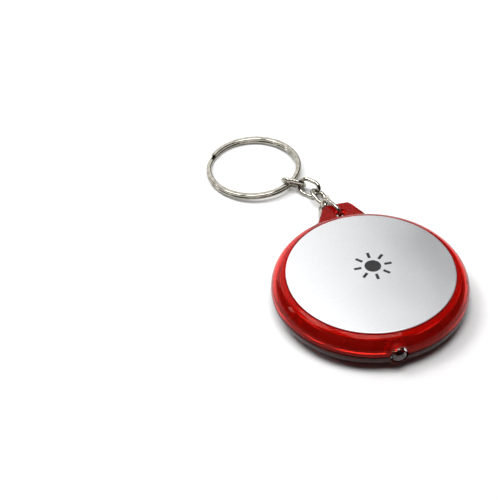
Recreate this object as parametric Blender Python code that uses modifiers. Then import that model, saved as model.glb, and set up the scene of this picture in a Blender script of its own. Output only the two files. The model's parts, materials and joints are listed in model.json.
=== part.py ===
"""Keychain flashlight: a round translucent case with a coin-cell torch inside, a sprung metal press plate, and a
chain of loose links that carries a split key ring. Metres, +Z up. The origin is the centre of the case's flat
underside, the LED looks along -Y, the lug is at +Y, and the chain lies on the surface that the case stands on."""

import math

import bmesh
import bpy
from mathutils import Euler, Matrix, Vector

MM = 0.001
MERGE = 0.00001
TURN = 2 * math.pi

# Case, in millimetres
CASE_R = 27.5
CASE_H = 11.0
RIM_R = CASE_H / 2
RIM_CENTRE_R = CASE_R - RIM_R
MID_Z = CASE_H / 2
WALL = 1.3
INNER_RIM_R = RIM_R - WALL
GAP = 0.1
TONGUE_R = 26.8
TONGUE_H = 0.75
STEPS = 72

# Press plate and its carrier
PLATE_R = 23.5
PLATE_T = 0.5
OPENING_R = 23.75
CARRIER_R = 23.3
CARRIER_WEB_Z = 9.2
FLANGE_R = 24.5
FLANGE_TOP_Z = 9.4
FLANGE_LOW_Z = 8.8
LIP_LOW_Z = 9.5
LIP_WALL_R = 24.7
PLUNGER_R = 2.5
PLUNGER_LOW_Z = 6.6

# Lug
LUG_T = 2.6
LUG_BASE_HALF = 8.6
LUG_TIP_HALF = 3.8
LUG_BASE_Y = 25.4
LUG_TIP_Y = 34.5
LUG_CORNER_R = 2.6
LUG_HOLE_Y = 30.2
LUG_HOLE_R = 1.6

# LED, 5 mm, and the collar that it looks out of
LED_R = 2.5
LED_TIP_Y = -28.4
LED_LENGTH = 8.6
LED_FLANGE_R = 2.9
LED_FLANGE_T = 1.0
COLLAR_R = 3.6
COLLAR_BORE_R = 2.6
COLLAR_FACE_Y = -27.1
COLLAR_BACK_Y = -24.8
LEG_R = 0.25
LEG_X = 1.27
LEG_BEND_Y = (-17.5, -15.2)
LEG_END_Y = -13.0

# Coin cells (2016) and their holder
CELL_R = 10.0
CELL_T = 1.6
CELL_LOW_Z = 2.5
POCKET_R = 10.2
HOLDER_R = 12.0
HOLDER_LOW_Z = 1.45
HOLDER_FLOOR_Z = 2.0
HOLDER_TOP_Z = 6.5
BRIDGE_HALF = 4.0
NOTCH_HALF = 3.6
BACK_WALL_T = 1.3
BACK_WALL_Y = LED_TIP_Y + LED_LENGTH + 0.25 + BACK_WALL_T / 2
BRIDGE_END_Y = BACK_WALL_Y - 0.8
BACK_WALL_TOP_Z = 7.7
PAD_TOP_Z = 5.85
TAB_ANGLES = (225, 315, 165, 15)
TAB_R = 22.4
TAB_T = 1.2
TAB_HALF = 3.2
TAB_TOP_Z = 7.6
ARM_T = 1.1

# Contact strips
STRIP_T = 0.25
STRIP_W = 3.0
STRIP_X = 1.7
STRIP_LOW_Z = 2.1
STRIP_END_Y = -15.0

# Return spring
SPRING_R = 11.1
SPRING_WIRE_R = 0.25
SPRING_TURNS = 3
SPRING_POINTS_PER_TURN = 24

# Screws and their posts
SCREW_ANGLES = (90, 195, 345)
SCREW_CIRCLE_R = 21.3
SCREW_HEAD_R = 1.6
SCREW_HEAD_Z = (0.25, 1.2)
SCREW_SHANK_R = 0.85
SCREW_END_Z = 6.2
POST_R = 1.9
POST_Z = (2.75, 7.5)
POST_BORE_R = 0.95
POST_BORE_TOP_Z = 6.6
BOSS_R = 2.6
BOSS_TOP_Z = 2.65
COUNTERBORE_R = 1.8
COUNTERBORE_TOP_Z = 1.3

# Chain: a tall oval ring through the lug, then four oval links
LUG_RING_WIRE = 1.1
LUG_RING_LENGTH = 7.8
LUG_RING_WIDTH = 4.5
LUG_RING_HEADING = 24
LUG_RING_HOOK_ANGLE = -44
LINK_WIRE = 1.2
LINK_LENGTH = 6.6
LINK_WIDTH = 4.4
LINK_SLIT = 0.12
# Heading from +Y towards -X, pitch above the horizontal and roll about the link's own line, in degrees. Then how
# far its near end reaches back past the middle of the wire that it hangs on, in millimetres.
LINK_POSES = (
    (-17.3, -26.0, -62.5, 1.37),
    (18.5, 9.4, 30.3, 1.49),
    (42.4, 0.9, -58.7, 1.44),
    (56.7, -2.8, 55.1, 1.5),
)

# Split ring
RING_R = 14.0
RING_BAND_W = 1.5
RING_BAND_T = 0.85
RING_COIL_GAP = 0.1
RING_HEADING = 42
RING_FROM_LINK_END = 2.6
RING_CROSSOVER = 34
RING_END_ANGLE = 42
RING_STEPS = 96

COLOURS = {
    "red_plastic": ((0.62, 0.02, 0.015), 0.12, 0.0),
    "plate_metal": ((0.72, 0.73, 0.75), 0.3, 1.0),
    "black_plastic": ((0.02, 0.02, 0.02), 0.5, 0.0),
    "clear_lens": ((0.75, 0.76, 0.78), 0.05, 0.0),
    "cell_steel": ((0.7, 0.7, 0.68), 0.3, 1.0),
    "contact_metal": ((0.75, 0.68, 0.5), 0.3, 1.0),
    "screw_steel": ((0.6, 0.6, 0.62), 0.35, 1.0),
    "chain_nickel": ((0.7, 0.68, 0.62), 0.18, 1.0),
}


def new_collection(name):
    made = bpy.data.collections.new(name)
    bpy.context.scene.collection.children.link(made)
    return made


def material(slot):
    """The Principled material of that slot, made once."""
    found = bpy.data.materials.get(slot)
    if found:
        return found
    colour, roughness, metallic = COLOURS[slot]
    made = bpy.data.materials.new(slot)
    made.use_nodes = True
    shader = made.node_tree.nodes["Principled BSDF"]
    shader.inputs["Base Color"].default_value = (*colour, 1)
    shader.inputs["Roughness"].default_value = roughness
    shader.inputs["Metallic"].default_value = metallic
    return made


def add_object(name, data, collection, slot=None):
    made = bpy.data.objects.new(name, data)
    collection.objects.link(made)
    if slot:
        data.materials.append(material(slot))
    return made


def as_helper(obj):
    """A cutter or a piece that is joined into another: not a node of its own."""
    obj.hide_render = True
    obj.display_type = "WIRE"
    return obj


def arc(centre_r, centre_z, radius, start, end, count):
    """Profile points (r, z) along an arc, by angle above the horizontal in degrees."""
    points = []
    for i in range(count + 1):
        a = math.radians(start + (end - start) * i / count)
        points.append((centre_r + radius * math.cos(a), centre_z + radius * math.sin(a)))
    return points


def rim_angle_at_r(radius, r):
    """Angle on the rim's section, of that radius, at which it is r from the case's axis."""
    return math.degrees(math.acos((r - RIM_CENTRE_R) / radius))


def rim_angle_at_z(radius, z):
    return math.degrees(math.asin((z - MID_Z) / radius))


def turned(name, profile, closed, collection, slot=None, steps=STEPS):
    """A profile of (r, z) millimetres, turned about Z by a Screw modifier."""
    mesh = bpy.data.meshes.new(name)
    count = len(profile)
    edges = [(i, i + 1) for i in range(count - 1)]
    if closed:
        edges.append((count - 1, 0))
    mesh.from_pydata([(r * MM, 0, z * MM) for r, z in profile], edges, [])
    obj = add_object(name, mesh, collection, slot)
    screw = obj.modifiers.new("turn", "SCREW")
    screw.steps = steps
    screw.render_steps = steps
    screw.use_merge_vertices = True
    screw.merge_threshold = MERGE
    screw.use_smooth_shade = False
    return obj


def cylinder(name, radius, low, high, collection, vertices=32):
    """An upright cylinder, in millimetres, with its mesh at its own place."""
    mesh = bpy.data.meshes.new(name)
    shape = bmesh.new()
    bmesh.ops.create_cone(
        shape,
        cap_ends=True,
        segments=vertices,
        radius1=radius * MM,
        radius2=radius * MM,
        depth=(high - low) * MM,
    )
    bmesh.ops.translate(shape, verts=shape.verts, vec=(0, 0, (high + low) / 2 * MM))
    shape.to_mesh(mesh)
    shape.free()
    return add_object(name, mesh, collection)


def block(name, low, high, collection, turn=0):
    """A box between two corners in millimetres, turned about Z by an angle in degrees."""
    mesh = bpy.data.meshes.new(name)
    shape = bmesh.new()
    bmesh.ops.create_cube(shape, size=1)
    size = [(b - a) * MM for a, b in zip(low, high)]
    centre = [(b + a) / 2 * MM for a, b in zip(low, high)]
    bmesh.ops.scale(shape, verts=shape.verts, vec=size)
    bmesh.ops.translate(shape, verts=shape.verts, vec=centre)
    shape.to_mesh(mesh)
    shape.free()
    obj = add_object(name, mesh, collection)
    obj.rotation_euler = (0, 0, math.radians(turn))
    return obj


def mesh_from_curve(obj, collection):
    """The same shape as a mesh object with its caps welded, in place of the curve."""
    bpy.context.view_layer.update()
    graph = bpy.context.evaluated_depsgraph_get()
    mesh = bpy.data.meshes.new_from_object(obj.evaluated_get(graph))
    shape = bmesh.new()
    shape.from_mesh(mesh)
    bmesh.ops.remove_doubles(shape, verts=shape.verts, dist=MERGE)
    bmesh.ops.recalc_face_normals(shape, faces=shape.faces)
    shape.to_mesh(mesh)
    shape.free()
    name = obj.name
    place = obj.matrix_world.copy()
    bpy.data.objects.remove(obj)
    made = bpy.data.objects.new(name, mesh)
    made.matrix_world = place
    collection.objects.link(made)
    return made


def slab(name, outline, low, high, collection):
    """A flat outline of (x, y) millimetres, filled from the height low to the height high."""
    curve = bpy.data.curves.new(name, "CURVE")
    curve.dimensions = "2D"
    curve.fill_mode = "BOTH"
    curve.extrude = (high - low) / 2 * MM
    spline = curve.splines.new("POLY")
    spline.points.add(len(outline) - 1)
    for point, (x, y) in zip(spline.points, outline):
        point.co = (x * MM, y * MM, 0, 1)
    spline.use_cyclic_u = True
    obj = add_object(name, curve, collection)
    obj.location.z = (high + low) / 2 * MM
    return mesh_from_curve(obj, collection)


def wire(name, points, radius, slot, collection, closed=False, sides=2):
    """A round wire along points in millimetres, as a bevelled curve with filled caps."""
    curve = bpy.data.curves.new(name, "CURVE")
    curve.dimensions = "3D"
    curve.bevel_depth = radius * MM
    curve.bevel_resolution = sides
    curve.use_fill_caps = True
    spline = curve.splines.new("POLY")
    spline.points.add(len(points) - 1)
    for point, place in zip(spline.points, points):
        point.co = (*(Vector(place) * MM), 1)
    spline.use_cyclic_u = closed
    return add_object(name, curve, collection, slot)


def boolean(obj, operation, *others):
    for other in others:
        as_helper(other)
        modifier = obj.modifiers.new(operation.lower(), "BOOLEAN")
        modifier.operation = operation
        modifier.object = other
        modifier.solver = "EXACT"


def round_off(obj, angle=35):
    """Smooth shading with sharp edges kept sharp, on a mesh object."""
    obj.data.shade_smooth()
    obj.data.set_sharp_from_angle(angle=math.radians(angle))


def polar(radius, degrees):
    a = math.radians(degrees)
    return radius * math.cos(a), radius * math.sin(a)


def lug_outline():
    """The lug seen from above: a wedge with round outer corners that starts inside the rim."""
    points = [(-LUG_BASE_HALF, LUG_BASE_Y), (LUG_BASE_HALF, LUG_BASE_Y)]
    slope = math.degrees(
        math.atan2(LUG_BASE_HALF - LUG_TIP_HALF, LUG_TIP_Y - LUG_BASE_Y)
    )
    corner_x = LUG_TIP_HALF - LUG_CORNER_R * math.tan(math.radians(45 - slope / 2))
    for side in (1, -1):
        turns = range(7) if side == 1 else range(6, -1, -1)
        for i in turns:
            a = math.radians(slope + (90 - slope) * i / 6)
            x = corner_x + LUG_CORNER_R * math.cos(a)
            y = LUG_TIP_Y - LUG_CORNER_R + LUG_CORNER_R * math.sin(a)
            points.append((side * x, y))
    return points


def collar_half(name, z_low, z_high, cutters):
    """Half of the short tube that the LED looks out of, above or below the seam."""
    tube = cylinder(name, COLLAR_R, -COLLAR_BACK_Y, -COLLAR_FACE_Y, cutters, 40)
    tube.rotation_euler = (math.pi / 2, 0, 0)
    tube.location.z = MID_Z * MM
    keep = block(name + "_keep", (-9, -40, z_low), (9, -10, z_high), cutters)
    boolean(tube, "INTERSECT", keep)
    return tube


def collar_bore(name, cutters):
    bore = cylinder(name, COLLAR_BORE_R, 22.5, 31, cutters, 40)
    bore.rotation_euler = (math.pi / 2, 0, 0)
    bore.location.z = MID_Z * MM
    return bore


def lug_hole(name, cutters):
    hole = cylinder(name, LUG_HOLE_R, 0, CASE_H, cutters, 32)
    hole.location.y = LUG_HOLE_Y * MM
    return hole


def lower_shell(parts, cutters):
    """The dish: flat floor, lower half of the rim, a tongue at the seam, screw bosses, half lug and half collar."""
    seam_z = MID_Z - GAP / 2
    tongue_top = MID_Z + TONGUE_H - GAP
    profile = [(0, WALL), (RIM_CENTRE_R, WALL)]
    profile += arc(
        RIM_CENTRE_R, MID_Z, INNER_RIM_R, -75, rim_angle_at_z(INNER_RIM_R, seam_z), 7
    )
    profile += [(TONGUE_R - 0.65, tongue_top), (TONGUE_R - GAP, tongue_top)]
    profile += [(TONGUE_R - GAP, seam_z)]
    profile += arc(RIM_CENTRE_R, MID_Z, RIM_R, rim_angle_at_z(RIM_R, seam_z), -90, 12)
    profile += [(0, 0)]
    shell = turned("lower_shell", profile, False, parts, "red_plastic")
    lug = slab("lower_lug", lug_outline(), MID_Z - LUG_T / 2, seam_z, cutters)
    collar = collar_half("lower_collar", 0.5, seam_z, cutters)
    boolean(shell, "UNION", lug, collar)
    for i, angle in enumerate(SCREW_ANGLES, 1):
        x, y = polar(SCREW_CIRCLE_R, angle)
        boss = cylinder(f"boss_{i}", BOSS_R, WALL / 2, BOSS_TOP_Z, cutters, 24)
        boss.location = (x * MM, y * MM, 0)
        boolean(shell, "UNION", boss)
        recess = cylinder(f"recess_{i}", COUNTERBORE_R, -1, COUNTERBORE_TOP_Z, cutters, 24)
        recess.location = boss.location
        through = cylinder(f"through_{i}", POST_BORE_R + GAP, 0, 4, cutters, 16)
        through.location = boss.location
        boolean(shell, "DIFFERENCE", recess, through)
    cavity = turned("lower_cavity", lower_cavity_profile(), False, cutters)
    gate = block(
        "lower_gate",
        (-COLLAR_R - GAP, -CASE_R - 1, seam_z),
        (COLLAR_R + GAP, COLLAR_BACK_Y + 1, CASE_H),
        cutters,
    )
    boolean(shell, "DIFFERENCE", cavity, gate)
    boolean(shell, "DIFFERENCE", lug_hole("lower_lug_hole", cutters))
    boolean(shell, "DIFFERENCE", collar_bore("lower_collar_bore", cutters))
    return shell


def lower_cavity_profile():
    """Cuts back what the lug, collar and seam tongue would leave inside the case above the seam."""
    low = MID_Z - GAP / 2
    high = CASE_H
    reach = TONGUE_R - 0.65
    return [(0, high), (reach, high), (reach, low - 1.5), (0, low - 1.5)]


def upper_shell(parts, cutters):
    """The ring: upper half of the rim with a lip over the plate's carrier, screw posts, half lug and half collar."""
    seam_z = MID_Z + GAP / 2
    step_z = MID_Z + TONGUE_H
    top_angle = rim_angle_at_r(RIM_R, OPENING_R)
    wall_angle = rim_angle_at_r(INNER_RIM_R, LIP_WALL_R)
    profile = arc(RIM_CENTRE_R, MID_Z, RIM_R, top_angle, rim_angle_at_z(RIM_R, seam_z), 12)
    profile += [(TONGUE_R, seam_z), (TONGUE_R, step_z)]
    profile += arc(
        RIM_CENTRE_R, MID_Z, INNER_RIM_R, rim_angle_at_z(INNER_RIM_R, step_z), wall_angle, 5
    )
    profile += [(LIP_WALL_R, LIP_LOW_Z), (OPENING_R, LIP_LOW_Z)]
    shell = turned("upper_shell", profile, True, parts, "red_plastic")
    lug = slab("upper_lug", lug_outline(), seam_z, MID_Z + LUG_T / 2, cutters)
    collar = collar_half("upper_collar", seam_z, CASE_H, cutters)
    trim = turned("upper_trim", upper_trim_profile(), False, cutters)
    boolean(lug, "DIFFERENCE", trim)
    boolean(shell, "UNION", lug, collar)
    for i, angle in enumerate(SCREW_ANGLES, 1):
        x, y = polar(SCREW_CIRCLE_R, angle)
        post = cylinder(f"post_{i}", POST_R, *POST_Z, cutters, 24)
        post.location = (x * MM, y * MM, 0)
        rib = block(
            f"rib_{i}",
            (SCREW_CIRCLE_R + 1, -0.8, step_z + GAP),
            (TONGUE_R - GAP, 0.8, POST_Z[1] - 0.2),
            cutters,
            angle,
        )
        bore = cylinder(f"post_bore_{i}", POST_BORE_R, 0, POST_BORE_TOP_Z, cutters, 16)
        bore.location = post.location
        boolean(shell, "UNION", post, rib)
        boolean(shell, "DIFFERENCE", bore)
    boolean(shell, "DIFFERENCE", lug_hole("upper_lug_hole", cutters))
    boolean(shell, "DIFFERENCE", collar_bore("upper_collar_bore", cutters))
    return shell


def upper_trim_profile():
    """The round space inside the seam's step, which the lug must not enter."""
    return [(0, CASE_H), (TONGUE_R, CASE_H), (TONGUE_R, 0), (0, 0)]


def press_plate(parts):
    edge = 0.15
    low = CASE_H - PLATE_T
    profile = [
        (0, CASE_H),
        (PLATE_R - edge, CASE_H),
        (PLATE_R, CASE_H - edge),
        (PLATE_R, low),
        (0, low),
    ]
    return turned("press_plate", profile, False, parts, "plate_metal")


def plate_carrier(parts):
    """The plastic disc under the plate, with a flange that the case's lip holds down and a plunger at its centre."""
    top = CASE_H - PLATE_T - GAP
    skirt = FLANGE_R - 2
    profile = [
        (0, top),
        (CARRIER_R, top),
        (CARRIER_R, FLANGE_TOP_Z),
        (FLANGE_R, FLANGE_TOP_Z),
        (FLANGE_R, FLANGE_LOW_Z),
        (skirt, FLANGE_LOW_Z),
        (skirt, CARRIER_WEB_Z),
        (PLUNGER_R + 0.4, CARRIER_WEB_Z),
        (PLUNGER_R, CARRIER_WEB_Z - 0.4),
        (PLUNGER_R, PLUNGER_LOW_Z + 0.3),
        (PLUNGER_R - 0.3, PLUNGER_LOW_Z),
        (0, PLUNGER_LOW_Z),
    ]
    return turned("plate_carrier", profile, False, parts, "red_plastic", 56)


def battery_holder(parts, cutters):
    """The black chassis: a round pocket for the cells, four arms with upright tabs, and the LED's back wall."""
    profile = [
        (0, HOLDER_FLOOR_Z),
        (POCKET_R, HOLDER_FLOOR_Z),
        (POCKET_R, HOLDER_TOP_Z),
        (HOLDER_R, HOLDER_TOP_Z),
        (HOLDER_R, HOLDER_LOW_Z),
        (0, HOLDER_LOW_Z),
    ]
    holder = turned("battery_holder", profile, False, parts, "black_plastic", 48)
    notch = block(
        "holder_notch",
        (-NOTCH_HALF, -HOLDER_R - 1, HOLDER_FLOOR_Z),
        (NOTCH_HALF, -POCKET_R + 2, HOLDER_TOP_Z + 1),
        cutters,
    )
    boolean(holder, "DIFFERENCE", notch)
    bridge = block(
        "holder_bridge",
        (-BRIDGE_HALF, BRIDGE_END_Y, HOLDER_LOW_Z + 0.05),
        (BRIDGE_HALF, -HOLDER_R + 0.6, HOLDER_FLOOR_Z - 0.05),
        cutters,
    )
    wall = block(
        "holder_back_wall",
        (-BRIDGE_HALF + 0.4, BACK_WALL_Y - BACK_WALL_T / 2, HOLDER_LOW_Z + 0.1),
        (BRIDGE_HALF - 0.4, BACK_WALL_Y + BACK_WALL_T / 2, BACK_WALL_TOP_Z),
        cutters,
    )
    pad = block(
        "holder_pad",
        (0.3, STRIP_END_Y - 0.2, HOLDER_LOW_Z + 0.1),
        (STRIP_X + STRIP_W / 2, -HOLDER_R - 0.4, PAD_TOP_Z),
        cutters,
    )
    boolean(holder, "UNION", bridge, wall, pad)
    for i, angle in enumerate(TAB_ANGLES, 1):
        arm = block(
            f"holder_arm_{i}",
            (HOLDER_R - 0.7, -TAB_HALF + 0.3, HOLDER_LOW_Z + 0.05),
            (TAB_R, TAB_HALF - 0.3, HOLDER_LOW_Z + ARM_T),
            cutters,
            angle,
        )
        tab = block(
            f"holder_tab_{i}",
            (TAB_R - TAB_T / 2, -TAB_HALF, HOLDER_LOW_Z + 0.25),
            (TAB_R + TAB_T / 2, TAB_HALF, TAB_TOP_Z),
            cutters,
            angle,
        )
        boolean(holder, "UNION", arm, tab)
    leg_slot = block(
        "holder_leg_slot",
        (-LEG_X - 0.6, BACK_WALL_Y - 1, MID_Z - 0.5),
        (LEG_X + 0.6, BACK_WALL_Y + 1, BACK_WALL_TOP_Z + 1),
        cutters,
    )
    boolean(holder, "DIFFERENCE", leg_slot)
    return holder


def coin_cell(name, low, parts):
    edge = 0.15
    profile = [
        (0, low + CELL_T),
        (CELL_R - edge, low + CELL_T),
        (CELL_R, low + CELL_T - edge),
        (CELL_R, low + 2 * edge),
        (CELL_R - edge, low + edge),
        (CELL_R - 1.1, low + edge),
        (CELL_R - 1.2, low),
        (0, low),
    ]
    return turned(name, profile, False, parts, "cell_steel", 48)


def contact_strip(name, path, x, parts):
    """A springy metal strip: its line runs through (y, z) points, its width along X, its thickness upwards."""
    mesh = bpy.data.meshes.new(name)
    points = []
    for y, z in path:
        points += [((x - STRIP_W / 2) * MM, y * MM, z * MM)]
        points += [((x + STRIP_W / 2) * MM, y * MM, z * MM)]
    faces = [(2 * i, 2 * i + 1, 2 * i + 3, 2 * i + 2) for i in range(len(path) - 1)]
    mesh.from_pydata(points, [], faces)
    obj = add_object(name, mesh, parts, "contact_metal")
    thick = obj.modifiers.new("thickness", "SOLIDIFY")
    thick.thickness = STRIP_T * MM
    thick.offset = 1
    thick.use_even_offset = True
    return obj


def contacts(parts):
    rise = PAD_TOP_Z + GAP
    contact_strip(
        "positive_contact",
        [(STRIP_END_Y, rise), (-9, rise), (-3, rise + 0.25), (2.5, rise + 0.25)],
        STRIP_X,
        parts,
    )
    contact_strip(
        "negative_contact",
        [(STRIP_END_Y, STRIP_LOW_Z), (4, STRIP_LOW_Z)],
        -STRIP_X,
        parts,
    )


def led(parts):
    """The LED's lens on a turned profile, laid along -Y, and its two legs."""
    dome_start = LED_LENGTH - LED_R
    profile = [(0, LED_LENGTH)]
    profile += arc(0, dome_start, LED_R, 80, 0, 6)
    profile += [
        (LED_R, LED_FLANGE_T),
        (LED_FLANGE_R, LED_FLANGE_T),
        (LED_FLANGE_R, 0),
        (0, 0),
    ]
    lens = turned("led_lens", profile, False, parts, "clear_lens", 32)
    back_y = LED_TIP_Y + LED_LENGTH
    lens.location = (0, back_y * MM, MID_Z * MM)
    lens.rotation_euler = (math.pi / 2, 0, 0)
    start_y = back_y + GAP
    high_z = PAD_TOP_Z + GAP + STRIP_T + LEG_R + GAP
    low_z = STRIP_LOW_Z + STRIP_T + LEG_R + GAP
    for name, x, end_z in (
        ("led_anode_leg", LEG_X, high_z),
        ("led_cathode_leg", -LEG_X, low_z),
    ):
        points = [
            (x, start_y, MID_Z),
            (x, LEG_BEND_Y[0], MID_Z),
            (x, LEG_BEND_Y[1], end_z),
            (x, LEG_END_Y, end_z),
        ]
        wire(name, points, LEG_R, "contact_metal", parts)


def return_spring(parts):
    """A flat coil on the holder's rim that pushes the carrier back up."""
    low = HOLDER_TOP_Z + GAP + SPRING_WIRE_R
    high = CARRIER_WEB_Z - GAP - SPRING_WIRE_R
    count = SPRING_TURNS * SPRING_POINTS_PER_TURN
    points = []
    for i in range(count + 1):
        a = TURN * i / SPRING_POINTS_PER_TURN
        z = low + (high - low) * i / count
        points.append((SPRING_R * math.cos(a), SPRING_R * math.sin(a), z))
    wire("return_spring", points, SPRING_WIRE_R, "contact_metal", parts, sides=1)


def screws(parts, cutters):
    """Three self-tapping screws with a cross recess, head down."""
    low, high = SCREW_HEAD_Z
    for i, angle in enumerate(SCREW_ANGLES, 1):
        x, y = polar(SCREW_CIRCLE_R, angle)
        profile = [
            (0, SCREW_END_Z),
            (SCREW_SHANK_R * 0.5, SCREW_END_Z),
            (SCREW_SHANK_R, SCREW_END_Z - 0.8),
            (SCREW_SHANK_R, high),
            (SCREW_HEAD_R, high),
            (SCREW_HEAD_R, low + 0.35),
            (SCREW_HEAD_R - 0.35, low),
            (0, low),
        ]
        screw = turned(f"screw_{i}", profile, False, parts, "screw_steel", 20)
        screw.location = (x * MM, y * MM, 0)
        for turn in (0, 90):
            slot = block(
                f"screw_slot_{i}_{turn}",
                (-0.95, -0.17, low - 0.5),
                (0.95, 0.17, low + 0.5),
                cutters,
            )
            slot.location = screw.location
            slot.rotation_euler = (0, 0, math.radians(turn))
            boolean(screw, "DIFFERENCE", slot)


def direction(heading, pitch=0):
    """The unit vector of a heading from +Y towards -X and a pitch above the horizontal, in degrees."""
    h, p = math.radians(heading), math.radians(pitch)
    return Vector((-math.sin(h) * math.cos(p), math.cos(h) * math.cos(p), math.sin(p)))


def link_rotation(heading, pitch, roll):
    """Turns a link from its own frame, where it runs along +X and lies flat."""
    turn = Euler((0, math.radians(-pitch), math.radians(90 + heading)), "XYZ").to_matrix()
    return turn @ Matrix.Rotation(math.radians(roll), 3, "X")


def oval(length, width, hold, slit):
    """Points of an oval wire loop, starting and ending at a slit in one side. Its near end is hold behind x = 0."""
    r = width / 2
    near, far = r - hold, length - r - hold
    middle = (near + far) / 2
    points = [(middle + slit / 2, -r, 0), (far, -r, 0)]
    points += [
        (far + r * math.sin(math.pi * i / 8), -r * math.cos(math.pi * i / 8), 0)
        for i in range(1, 8)
    ]
    points += [(far, r, 0), (near, r, 0)]
    points += [
        (near - r * math.sin(math.pi * i / 8), r * math.cos(math.pi * i / 8), 0)
        for i in range(1, 8)
    ]
    points += [(near, -r, 0), (middle - slit / 2, -r, 0)]
    return points


def place(obj, pivot, rotation):
    obj.matrix_world = Matrix.Translation(pivot * MM) @ rotation.to_4x4()


def chain(parts):
    """The lug ring and the four links. Each is placed by its pivot, the middle of its neighbour's wire."""
    pivot = Vector((0, LUG_HOLE_Y, MID_Z))
    ring = wire(
        "lug_ring",
        oval(LUG_RING_LENGTH, LUG_RING_WIDTH, 0, LINK_SLIT),
        LUG_RING_WIRE / 2,
        "chain_nickel",
        parts,
    )
    place(ring, pivot, link_rotation(LUG_RING_HEADING, 0, 90))
    # The first link hangs low in the lug ring's outer bend.
    bend_r = LUG_RING_WIDTH / 2
    bend_centre = pivot + direction(LUG_RING_HEADING) * (LUG_RING_LENGTH - bend_r)
    pivot = bend_centre + direction(LUG_RING_HEADING, LUG_RING_HOOK_ANGLE) * bend_r
    for i, (heading, pitch, roll, hold) in enumerate(LINK_POSES, 1):
        link = wire(
            f"chain_link_{i}",
            oval(LINK_LENGTH, LINK_WIDTH, hold, LINK_SLIT),
            LINK_WIRE / 2,
            "chain_nickel",
            parts,
        )
        place(link, pivot, link_rotation(heading, pitch, roll))
        pivot = pivot + direction(heading, pitch) * (LINK_LENGTH - hold)
    return pivot


def split_ring(pivot, parts, cutters):
    """Two touching coils of flat wire. The near band passes through the last link, the far side rests lower."""
    coil_rise = (RING_BAND_T + RING_COIL_GAP) / 2
    band_r = RING_R - RING_BAND_W / 2
    steps = 2 * RING_STEPS
    cross = math.radians(RING_CROSSOVER)
    points = []
    for i in range(steps + 1):
        a = (2 * TURN - cross) * i / steps
        share = min(max((a - (TURN - cross)) / cross, 0), 1)
        ease = share * share * (3 - 2 * share)
        points.append((a, coil_rise * (2 * ease - 1)))
    curve = bpy.data.curves.new("split_ring", "CURVE")
    curve.dimensions = "3D"
    curve.twist_mode = "Z_UP"
    curve.use_fill_caps = True
    spline = curve.splines.new("POLY")
    spline.points.add(len(points) - 1)
    start = math.radians(RING_END_ANGLE)
    for point, (a, z) in zip(spline.points, points):
        x = band_r * math.cos(a + start)
        y = band_r * math.sin(a + start)
        point.co = (x * MM, y * MM, z * MM, 1)
    curve.bevel_mode = "OBJECT"
    curve.bevel_object = band_section(cutters)
    ring = add_object("split_ring", curve, parts, "chain_nickel")
    heading, pitch = LINK_POSES[-1][:2]
    near = pivot - direction(heading, pitch) * RING_FROM_LINK_END
    half_height = coil_rise + RING_BAND_T / 2
    drop = math.asin((near.z - half_height) / (RING_R + band_r))
    turn = link_rotation(RING_HEADING, -math.degrees(drop), 0)
    centre = near + turn @ Vector((band_r, 0, 0))
    place(ring, centre, turn)
    return mesh_from_curve(ring, parts)


def band_section(cutters):
    """The section of the split ring's flat wire, a rectangle with cut corners."""
    w, t, c = RING_BAND_W / 2, RING_BAND_T / 2, 0.22
    outline = [(w, -t + c), (w, t - c), (w - c, t), (-w + c, t)]
    outline += [(-w, t - c), (-w, -t + c), (-w + c, -t), (w - c, -t)]
    curve = bpy.data.curves.new("band_section", "CURVE")
    curve.dimensions = "2D"
    spline = curve.splines.new("POLY")
    spline.points.add(len(outline) - 1)
    for point, (x, y) in zip(spline.points, outline):
        point.co = (x * MM, y * MM, 0, 1)
    spline.use_cyclic_u = True
    return as_helper(add_object("band_section", curve, cutters))


def main():
    for obj in list(bpy.data.objects):
        bpy.data.objects.remove(obj)
    parts = new_collection("keychain_flashlight")
    cutters = new_collection("cutters")
    lower_shell(parts, cutters)
    upper_shell(parts, cutters)
    press_plate(parts)
    plate_carrier(parts)
    battery_holder(parts, cutters)
    coin_cell("battery_lower", CELL_LOW_Z, parts)
    coin_cell("battery_upper", CELL_LOW_Z + CELL_T + GAP, parts)
    contacts(parts)
    led(parts)
    return_spring(parts)
    screws(parts, cutters)
    pivot = chain(parts)
    split_ring(pivot, parts, cutters)
    for obj in parts.objects:
        if obj.type == "MESH":
            round_off(obj)


main()
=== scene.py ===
import json
import math

import bmesh
import bpy
import numpy as np
from mathutils import Matrix, Vector


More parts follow.
